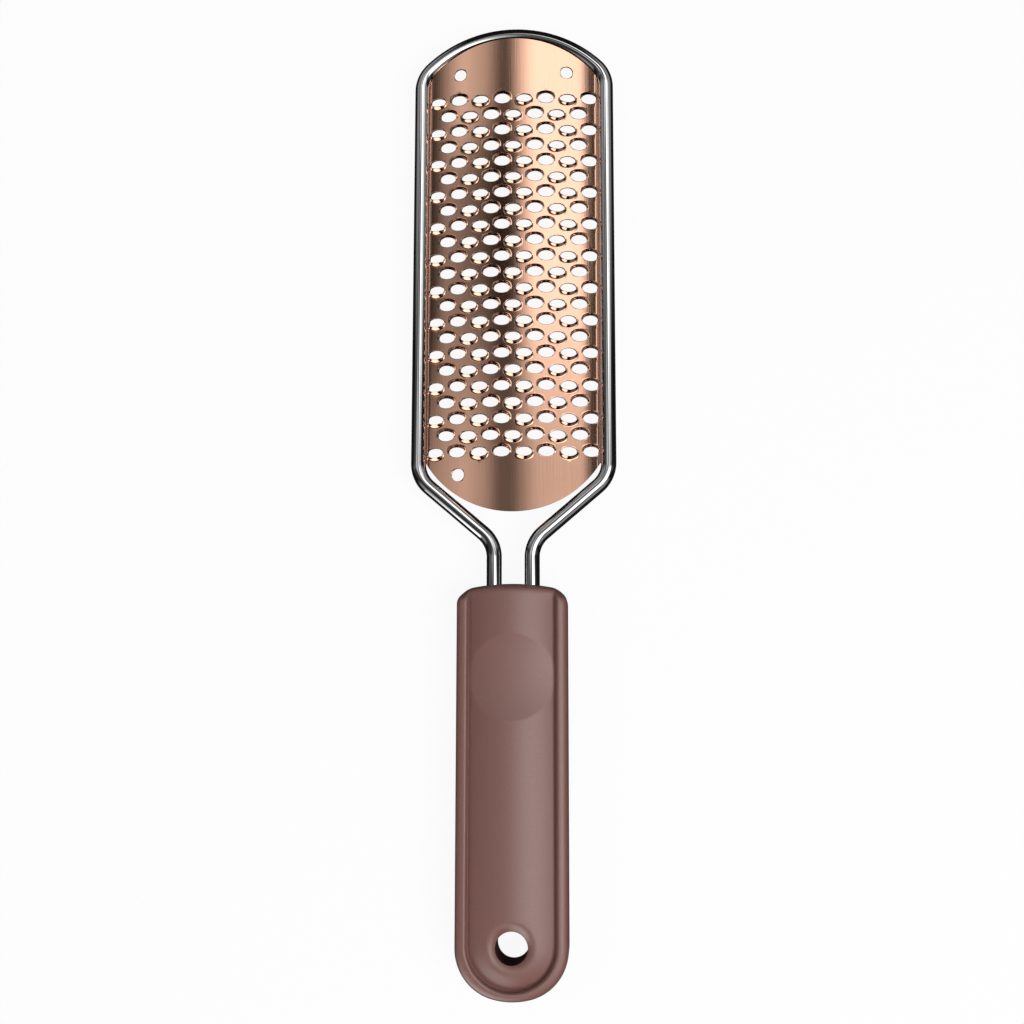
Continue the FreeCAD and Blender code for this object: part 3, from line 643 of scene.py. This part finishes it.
def front_place(x, y, z):
    """Place of a point of the front after the rounded corners and top edge."""
    px, py = grip_plan(x, y)
    return px, py, top_drop(x, y, z)


def panel_place(x, y):
    return front_place(x, y, panel_z(x, y))


def grip_stations():
    """Direction, start and reach of each section: down the left side, round the end and up the right."""
    run = GRIP_TOP_Y - TOP_INSETS[-1] - PANEL_Y
    steps = math.ceil(run / SIDE_STEP)
    side_y = [GRIP_TOP_Y - inset for inset in TOP_INSETS]
    side_y += [PANEL_Y + run * (1 - i / steps) for i in range(1, steps + 1)]
    stations = [(-1.0, 0.0, y, GRIP_HALF) for y in side_y]
    for i in range(1, END_STEPS):
        turn = math.pi * i / END_STEPS
        stations.append((-math.cos(turn), -math.sin(turn), PANEL_Y, end_reach(turn)))
    stations += [(1.0, 0.0, y, GRIP_HALF) for y in reversed(side_y)]
    return stations


def add_sides(skin, stations):
    """Groove, rim and outer wall along the stations, down to the back."""
    rows = []
    for dx, dy, y, reach in stations:
        row = [skin.add(panel_place(dx * PANEL_REACH, y + dy * PANEL_REACH))]
        for out, z in rim_profile(reach):
            row.append(skin.add(front_place(dx * out, y + dy * out, z)))
        for inset, z in back_edge(skin.points[row[-1]][2]):
            out = reach - inset
            px, py = grip_plan(dx * out, min(y + dy * out, GRIP_TOP_Y - inset))
            row.append(skin.add((px, py, z)))
        rows.append(row)
    skin.grid(rows)
    return rows


def add_top_end(skin, left_row, right_row, top_x):
    """The end face at the frame, from the top edge of panel and rims down to the back."""
    reaches = [PANEL_REACH] + [out for out, z in rim_profile(GRIP_HALF)]
    count = len(reaches)
    edge = left_row[:count][::-1]
    edge += [skin.add(panel_place(x, GRIP_TOP_Y)) for x in top_x]
    edge += right_row[:count]
    edge_x = [-out for out in reversed(reaches)] + top_x + reaches
    columns = []
    for start, x in zip(edge, edge_x):
        column = [start]
        for inset, z in back_edge(skin.points[start][2]):
            held = math.copysign(min(abs(x), GRIP_HALF - inset), x)
            px, py = grip_plan(held, GRIP_TOP_Y - inset)
            column.append(skin.add((px, py, z)))
        columns.append(column)
    skin.grid(columns)
    return columns


def panel_points():
    """Points inside the panel, closer together at the top edge and round the thumb hollow."""
    rows_y = [GRIP_TOP_Y - inset for inset in TOP_INSETS[1:]]
    y = rows_y[-1] - PANEL_STEP
    while y > PANEL_Y - PANEL_KEEP:
        rows_y.append(y)
        y -= PANEL_STEP
    found = []
    for j, y in enumerate(rows_y):
        for i in range(PANEL_COLUMNS):
            x = -PANEL_REACH + 2 * PANEL_REACH * (i + 0.5 * (j % 2)) / PANEL_COLUMNS
            from_thumb = math.hypot(x, y - THUMB_Y)
            in_rings = THUMB_RINGS[0] - RING_GAP < from_thumb < THUMB_RINGS[-1] + RING_GAP
            clear_of_hole = math.hypot(x, y - HOLE_Y) > FLARE_RIM + RING_GAP
            if from_spine(x, y) <= PANEL_KEEP and not in_rings and clear_of_hole:
                found.append((x, y))
    for ring in THUMB_RINGS:
        found += [p for p in circle_points(THUMB_Y, ring, THUMB_SIDES) if abs(p[0]) < PANEL_KEEP]
    return found


def add_flat(skin, outline, hole_radius, inside, lift):
    """A triangulated face, with each flat point carried to its place by a function."""
    places, triangles = flat_mesh(outline, hole_radius, inside)
    first = len(skin.points)
    skin.points += [lift(x, y) for x, y in places]
    skin.faces += [tuple(first + i for i in face) for face in triangles]


def add_hole_rings(skin, profile):
    """Bands round the hanging hole between circles of a radius and a height."""
    rings = []
    for radius, z in profile:
        rings.append(skin.closed_ring([(x, y, z) for x, y in circle_points(HOLE_Y, radius, HOLE_SIDES)]))
    skin.grid(rings)


def make_grip():
    skin = Skin()
    stations = grip_stations()
    top_x = [-PANEL_REACH + 2 * PANEL_REACH * i / PANEL_COLUMNS for i in range(1, PANEL_COLUMNS)]
    rows = add_sides(skin, stations)
    columns = add_top_end(skin, rows[0], rows[-1], top_x)

    # the panel and the flare of the hole
    outline = [(dx * PANEL_REACH, y + dy * PANEL_REACH) for dx, dy, y, reach in stations]
    outline += [(x, GRIP_TOP_Y) for x in reversed(top_x)]
    add_flat(skin, outline, FLARE_RIM, panel_points(), panel_place)
    rings = []
    for radius in FLARE_RINGS:
        circle = circle_points(HOLE_Y, radius, HOLE_SIDES)
        rings.append(skin.closed_ring([(x, y, panel_z(x, y)) for x, y in circle]))
    skin.grid(rings)

    # the flat back
    outline = []
    for number in [row[-1] for row in rows] + [column[-1] for column in reversed(columns)]:
        place = skin.points[number][:2]
        if not outline or math.dist(place, outline[-1]) > OUTLINE_GAP:
            outline.append(place)
    if math.dist(outline[0], outline[-1]) < OUTLINE_GAP:
        outline.pop()
    inside = [(0.0, GRIP_TOP_Y - BACK_STEP * k) for k in range(1, BACK_STEPS + 1)]
    add_flat(skin, outline, BACK_HOLE, inside, lambda x, y: (x, y, 0.0))

    # inside of the hole, round the core's boss
    add_hole_rings(skin, ((HOLE_RING, BOSS_TOP_Z), (BOSS_RADIUS, BOSS_TOP_Z), (BOSS_RADIUS, BOSS_LOW_Z),
                          (HOLE_RING, BOSS_LOW_Z), (BACK_HOLE, 0.0)))
    return mesh_object("soft_grip_skin", skin.points, skin.faces, GRIP_SHARP)


# Node materials: the grain blends two tones between these levels.
GRAIN_LOW = 0.3
GRAIN_HIGH = 0.7
CHROME_TONES = ((0.80, 0.81, 0.82), (0.88, 0.88, 0.89))
ROSE_GOLD_TONES = ((0.76, 0.435, 0.305), (0.84, 0.49, 0.345))
SOFT_TOUCH_TONES = ((0.155, 0.060, 0.045), (0.190, 0.077, 0.059))
# The core's tones are darker than its own brown plastic: painted shade for the inside of the hanging hole,
# which the core lines.
HARD_PLASTIC_WITH_BORE_SHADE_TONES = ((0.07, 0.036, 0.030), (0.10, 0.054, 0.045))


class Nodes:
    """A new node material, with short ways to add and link nodes."""

    def __init__(self, name):
        self.material = bpy.data.materials.new(name)
        self.material.use_nodes = True
        self.tree = self.material.node_tree
        self.shader = self.tree.nodes["Principled BSDF"]

    def add(self, kind):
        return self.tree.nodes.new(kind)

    def link(self, start, stop):
        self.tree.links.new(start, stop)

    def value(self, name, number):
        self.shader.inputs[name].default_value = number

    def grain(self, scale, detail):
        """Noise over object coordinates, scaled along each axis."""
        source = self.add("ShaderNodeTexCoord")
        mapping = self.add("ShaderNodeMapping")
        mapping.inputs["Scale"].default_value = scale
        self.link(source.outputs["Object"], mapping.inputs["Vector"])
        node = self.add("ShaderNodeTexNoise")
        node.inputs["Scale"].default_value = 1.0
        node.inputs["Detail"].default_value = detail
        self.link(mapping.outputs["Vector"], node.inputs["Vector"])
        return node.outputs["Fac"]

    def colour(self, grain, tones):
        """Base colour between two tones."""
        node = self.add("ShaderNodeValToRGB")
        for element, place, tone in zip(node.color_ramp.elements, (GRAIN_LOW, GRAIN_HIGH), tones):
            element.position = place
            element.color = (*tone, 1.0)
        self.link(grain, node.inputs["Fac"])
        self.link(node.outputs["Color"], self.shader.inputs["Base Color"])

    def roughness(self, grain, low, high):
        node = self.add("ShaderNodeMapRange")
        node.inputs["To Min"].default_value = low
        node.inputs["To Max"].default_value = high
        self.link(grain, node.inputs["Value"])
        self.link(node.outputs["Result"], self.shader.inputs["Roughness"])

    def bump(self, grain, strength, relief):
        """Relief of the grain, in millimetres."""
        node = self.add("ShaderNodeBump")
        node.inputs["Strength"].default_value = strength
        node.inputs["Distance"].default_value = relief * MM
        self.link(grain, node.inputs["Height"])
        self.link(node.outputs["Normal"], self.shader.inputs["Normal"])


def chrome():
    made = Nodes("polished_chrome")
    made.value("Metallic", 1.0)
    grain = made.grain(scale=(900.0, 900.0, 900.0), detail=3.0)
    made.colour(grain, CHROME_TONES)
    made.roughness(grain, low=0.05, high=0.065)
    return made.material


def rose_gold():
    made = Nodes("rose_gold_steel")
    made.value("Metallic", 1.0)
    streaks = made.grain(scale=(5000.0, 60.0, 400.0), detail=4.0)
    made.colour(streaks, ROSE_GOLD_TONES)
    made.roughness(streaks, low=0.06, high=0.11)
    made.bump(streaks, strength=0.15, relief=0.02)
    return made.material


def soft_touch():
    made = Nodes("soft_touch_mauve")
    grain = made.grain(scale=(2600.0, 2600.0, 2600.0), detail=3.0)
    made.colour(grain, SOFT_TOUCH_TONES)
    made.roughness(grain, low=0.44, high=0.54)
    made.value("Specular IOR Level", 1.0)
    made.value("Coat Weight", 1.0)
    made.value("Coat Roughness", 0.45)
    made.value("Coat IOR", 1.8)
    made.bump(grain, strength=0.4, relief=0.05)
    return made.material


# Dark brown hard plastic, made darker still as painted shade in the hanging hole.
def hard_plastic_with_bore_shade():
    made = Nodes("hard_plastic_brown_bore_shade")
    grain = made.grain(scale=(1500.0, 1500.0, 1500.0), detail=2.0)
    made.colour(grain, HARD_PLASTIC_WITH_BORE_SHADE_TONES)
    made.roughness(grain, low=0.35, high=0.45)
    return made.material


def dress(name, material):
    """Give a carried-over node its material."""
    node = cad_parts[name]
    node.data.materials.clear()
    node.data.materials.append(material)


rod = make_wire_frame()
rod.data.materials.append(chrome())
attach(rod, BODY)
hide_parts("wire_frame")

blade = make_blade()
blade.data.materials.append(rose_gold())
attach(blade, BODY)
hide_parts("rasp_blade")

grip = make_grip()
grip.data.materials.append(soft_touch())
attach(grip, BODY)
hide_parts("handle_grip")

dress("handle_core", hard_plastic_with_bore_shade())

# Studio, in metres.
FLOOR_SIZE = 8.0
FLOOR_Z = -0.0002
FLOOR_GREY = 0.9
MAT_GREY = 0.01
DOME_RADIUS = 2.5
DOME_SIDES = 64
DOME_RINGS = 32
DOME_LOW_Z = -0.01

# Share of the floor that glows white to the camera and in reflections; the rest takes the shadow.
FLOOR_GLOW = 0.93

# Strength of the white world as light on the tool.
WORLD_LIGHT = 0.14

# Lamps: name, place, aim, size and watts.
LAMPS = (("key", (0.5, -0.4, 0.9), (0, -0.03, 0), (0.7, 0.7), 10.0),
         ("fill", (-0.55, -0.05, 0.85), (0, -0.06, 0), (0.5, 0.6), 1.8))

# The dome's grey levels go by slope from straight up, across the tool or along it, within these ranges.
LEVEL_TOP = 4.0
ACROSS = (-2.0, 2.0)
ALONG = (-6.0, 6.0)
LEAST = 0.001
SOFTBOX_END = 0.345
GAP_START = 0.385
GAP_END = 0.46
GAP_LEVEL = 0.04
SIDE_START = 0.55
SIDE_END = 0.95
SIDE_END_LEVEL = 0.01


def softbox_end(level, side_level):
    """The right end of a softbox, the dark gap beside it and the weaker light beyond."""
    return ((SOFTBOX_END, level), (GAP_START, GAP_LEVEL), (GAP_END, GAP_LEVEL), (SIDE_START, side_level),
            (SIDE_END, SIDE_END_LEVEL))


# Levels across the tool in four zones, and the share of each zone along the tool.
FAR_LEVELS = ((-0.56, 0.03), (-0.37, 0.85), (-0.22, 0.55), (-0.13, 0.1), (-0.08, 0.12), (0.05, 1.75))
FAR_LEVELS += softbox_end(1.75, 1.5)
MIDDLE_LEVELS = ((-0.56, 0.03), (-0.47, 0.35), (-0.25, 0.13), (-0.15, 0.015), (-0.05, 0.04), (0.06, 1.7))
MIDDLE_LEVELS += softbox_end(1.75, 1.5)
NEAR_LEVELS = ((-0.8, 0.1), (-0.34, 0.7), (-0.22, 0.48), (-0.14, 0.15), (-0.06, 0.14), (0.08, 0.7))
NEAR_LEVELS += softbox_end(0.75, 0.5)
HAND_LEVELS = ((-0.4, 0.03), (-0.1, 0.08), (0.05, 0.7), (0.2, 2.6), (0.42, 3.0), (0.7, 1.7), (1.1, 0.05))
FAR_SHARE = ((0.47, 0.0), (0.51, 1.0), (0.62, 1.0), (0.78, 0.0))
MIDDLE_SHARE = ((0.19, 0.0), (0.34, 1.0), (0.47, 1.0), (0.51, 0.0))
NEAR_SHARE = ((0.07, 0.0), (0.13, 1.0), (0.19, 1.0), (0.34, 0.0))
HAND_SHARE = ((-0.45, 0.0), (-0.28, 1.0), (0.07, 1.0), (0.13, 0.0))
ZONES = ((FAR_LEVELS, FAR_SHARE), (NEAR_LEVELS, NEAR_SHARE), (MIDDLE_LEVELS, MIDDLE_SHARE),
         (HAND_LEVELS, HAND_SHARE))

# A low card beyond the handle, by bearing from the handle's line and by slope along the tool.
CARD_BEARING = ((-1.4, 0.0), (-1.1, 2.0), (-0.12, 2.0), (0.0, 0.0))
CARD_ALONG = ((-6.0, 1.0), (-1.2, 1.0), (-0.8, 0.0))

# The room's walls, by squared slope and by how far a direction is turned from both axes.
ROOM_SPREAD = (0.0, 60.0)
ROOM_TURN = (0.0, 0.5)
ROOM_LEVELS = ((0.6, 0.0), (1.4, 0.24), (25.0, 0.24), (55.0, 0.02))
ROOM_TURNS = ((0.27, 0.03), (0.42, 1.0))

scene = bpy.context.scene


def bare_material(name):
    """A node material without a shader, its node tree and its surface socket."""
    material = bpy.data.materials.new(name)
    material.use_nodes = True
    tree = material.node_tree
    tree.nodes.clear()
    output = tree.nodes.new("ShaderNodeOutputMaterial")
    return material, tree, output.inputs["Surface"]


def maths(tree, operation, first, second):
    """Result of a sum on two sockets or numbers."""
    node = tree.nodes.new("ShaderNodeMath")
    node.operation = operation
    for socket, value in zip(node.inputs, (first, second)):
        if isinstance(value, float):
            socket.default_value = value
        else:
            tree.links.new(value, socket)
    return node.outputs["Value"]


def background_rays(tree):
    """1 for rays from the camera, off gloss or through glass, and 0 for light on the tool."""
    path = tree.nodes.new("ShaderNodeLightPath")
    seen = maths(tree, "MAXIMUM", path.outputs["Is Camera Ray"], path.outputs["Is Glossy Ray"])
    return maths(tree, "MAXIMUM", seen, path.outputs["Is Transmission Ray"])


def floor_material():
    material, tree, surface = bare_material("pale_floor")
    mix = tree.nodes.new("ShaderNodeMixShader")
    share = maths(tree, "MULTIPLY", background_rays(tree), FLOOR_GLOW)
    tree.links.new(share, mix.inputs["Fac"])
    diffuse = tree.nodes.new("ShaderNodeBsdfDiffuse")
    diffuse.inputs["Color"].default_value = (FLOOR_GREY, FLOOR_GREY, FLOOR_GREY, 1.0)
    glow = tree.nodes.new("ShaderNodeEmission")
    glow.inputs["Strength"].default_value = 1.0
    tree.links.new(diffuse.outputs["BSDF"], mix.inputs[1])
    tree.links.new(glow.outputs["Emission"], mix.inputs[2])
    tree.links.new(mix.outputs["Shader"], surface)
    return material


def mat_material():
    material, tree, surface = bare_material("black_card")
    glow = tree.nodes.new("ShaderNodeEmission")
    glow.inputs["Color"].default_value = (MAT_GREY, MAT_GREY, MAT_GREY, 1.0)
    glow.inputs["Strength"].default_value = 1.0
    tree.links.new(glow.outputs["Emission"], surface)
    return material


def graded(tree, value, span, stops):
    """Grey level at a value, blended between stops."""
    low, high = span
    node = tree.nodes.new("ShaderNodeMapRange")
    node.inputs["From Min"].default_value = low
    node.inputs["From Max"].default_value = high
    tree.links.new(value, node.inputs["Value"])
    ramp = tree.nodes.new("ShaderNodeValToRGB")
    elements = ramp.color_ramp.elements
    elements.remove(elements[1])
    for number, (place, level) in enumerate(stops):
        position = (place - low) / (high - low)
        element = elements.new(position) if number else elements[0]
        element.position = position
        grey = level / LEVEL_TOP
        element.color = (grey, grey, grey, 1.0)
    tree.links.new(node.outputs["Result"], ramp.inputs["Fac"])
    return maths(tree, "MULTIPLY", ramp.outputs["Color"], LEVEL_TOP)


def dome_material():
    """Softboxes, cards and walls round the tool, by direction across and along it."""
    material, tree, surface = bare_material("studio_dome")
    glow = tree.nodes.new("ShaderNodeEmission")
    tree.links.new(glow.outputs["Emission"], surface)
    source = tree.nodes.new("ShaderNodeTexCoord")
    split = tree.nodes.new("ShaderNodeSeparateXYZ")
    tree.links.new(source.outputs["Object"], split.inputs["Vector"])
    height = maths(tree, "MAXIMUM", split.outputs["Z"], LEAST)
    across = maths(tree, "DIVIDE", split.outputs["X"], height)
    along = maths(tree, "DIVIDE", split.outputs["Y"], height)

    toward_handle = maths(tree, "MULTIPLY", split.outputs["Y"], -1.0)
    bearing = maths(tree, "DIVIDE", split.outputs["X"], maths(tree, "MAXIMUM", toward_handle, LEAST))
    light = maths(tree, "MULTIPLY", graded(tree, bearing, ACROSS, CARD_BEARING),
                  graded(tree, along, ALONG, CARD_ALONG))
    for levels, share in ZONES:
        zone = maths(tree, "MULTIPLY", graded(tree, across, ACROSS, levels),
                     graded(tree, along, ALONG, share))
        light = maths(tree, "ADD", light, zone)

    squares = [maths(tree, "MULTIPLY", slope, slope) for slope in (across, along)]
    spread = maths(tree, "ADD", *squares)
    turned = maths(tree, "ABSOLUTE", maths(tree, "MULTIPLY", across, along), 0.0)
    turned = maths(tree, "DIVIDE", turned, maths(tree, "MAXIMUM", spread, LEAST))
    room = maths(tree, "MULTIPLY", graded(tree, spread, ROOM_SPREAD, ROOM_LEVELS),
                 graded(tree, turned, ROOM_TURN, ROOM_TURNS))
    tree.links.new(maths(tree, "ADD", light, room), glow.inputs["Strength"])
    return material


def level_square(name, height, size, material):
    half = size / 2
    corners = [(-half, -half, 0), (half, -half, 0), (half, half, 0), (-half, half, 0)]
    mesh = bpy.data.meshes.new(name)
    mesh.from_pydata(corners, [], [(0, 1, 2, 3)])
    mesh.materials.append(material)
    made = bpy.data.objects.new(name, mesh)
    made.location = (0, 0, height)
    scene.collection.objects.link(made)
    return made


def make_dome():
    """A half sphere over the tool."""
    mesh = bpy.data.meshes.new("studio_dome")
    work = bmesh.new()
    bmesh.ops.create_uvsphere(work, u_segments=DOME_SIDES, v_segments=DOME_RINGS, radius=DOME_RADIUS)
    low = [vert for vert in work.verts if vert.co.z < DOME_LOW_Z]
    bmesh.ops.delete(work, geom=low, context="VERTS")
    work.to_mesh(mesh)
    work.free()
    mesh.materials.append(dome_material())
    made = bpy.data.objects.new("studio_dome", mesh)
    scene.collection.objects.link(made)
    return made


def reflection_only(made):
    """Seen in reflections alone."""
    made.visible_camera = False
    made.visible_diffuse = False
    made.visible_shadow = False
    made.visible_transmission = False


def lamp(name, place, aim, size, watts):
    """An area light that does not show in reflections."""
    data = bpy.data.lights.new(name, "AREA")
    data.shape = "RECTANGLE"
    data.size = size[0]
    data.size_y = size[1]
    data.energy = watts
    made = bpy.data.objects.new(name, data)
    made.location = place
    facing = Vector(aim) - Vector(place)
    made.rotation_euler = facing.to_track_quat("-Z", "Y").to_euler()
    made.visible_glossy = False
    scene.collection.objects.link(made)


level_square("floor", FLOOR_Z, FLOOR_SIZE, floor_material())
reflection_only(make_dome())
reflection_only(level_square("mat_card", FLOOR_Z / 2, 2 * DOME_RADIUS, mat_material()))
for settings in LAMPS:
    lamp(*settings)

# The world lights the tool weakly and is white to the camera.
world = bpy.data.worlds.new("studio")
scene.world = world
world.use_nodes = True
sky = world.node_tree.nodes["Background"]
sky.inputs["Color"].default_value = (1.0, 1.0, 1.0, 1.0)
strength = world.node_tree.nodes.new("ShaderNodeMapRange")
strength.inputs["To Min"].default_value = WORLD_LIGHT
strength.inputs["To Max"].default_value = 1.0
world.node_tree.links.new(background_rays(world.node_tree), strength.inputs["Value"])
world.node_tree.links.new(strength.outputs["Result"], sky.inputs["Strength"])

# Camera.
eye = Vector(CAMERA_EYE) * MM
aim = Vector(CAMERA_AIM) * MM
looking = (aim - eye).normalized()
right = looking.cross(Vector((0.0, 1.0, 0.0))).normalized()
up = right.cross(looking)
turned = Matrix((right, up, -looking)).transposed().to_4x4()
camera_data = bpy.data.cameras.new("camera")
camera_data.lens = CAMERA_LENS
camera_data.sensor_width = CAMERA_SENSOR
camera_data.clip_start = CAMERA_CLIP * MM
camera = bpy.data.objects.new("camera", camera_data)
camera.matrix_world = Matrix.Translation(eye) @ turned @ Matrix.Rotation(CAMERA_ROLL, 4, "Z")
scene.collection.objects.link(camera)
scene.camera = camera
scene.view_settings.view_transform = "Standard"
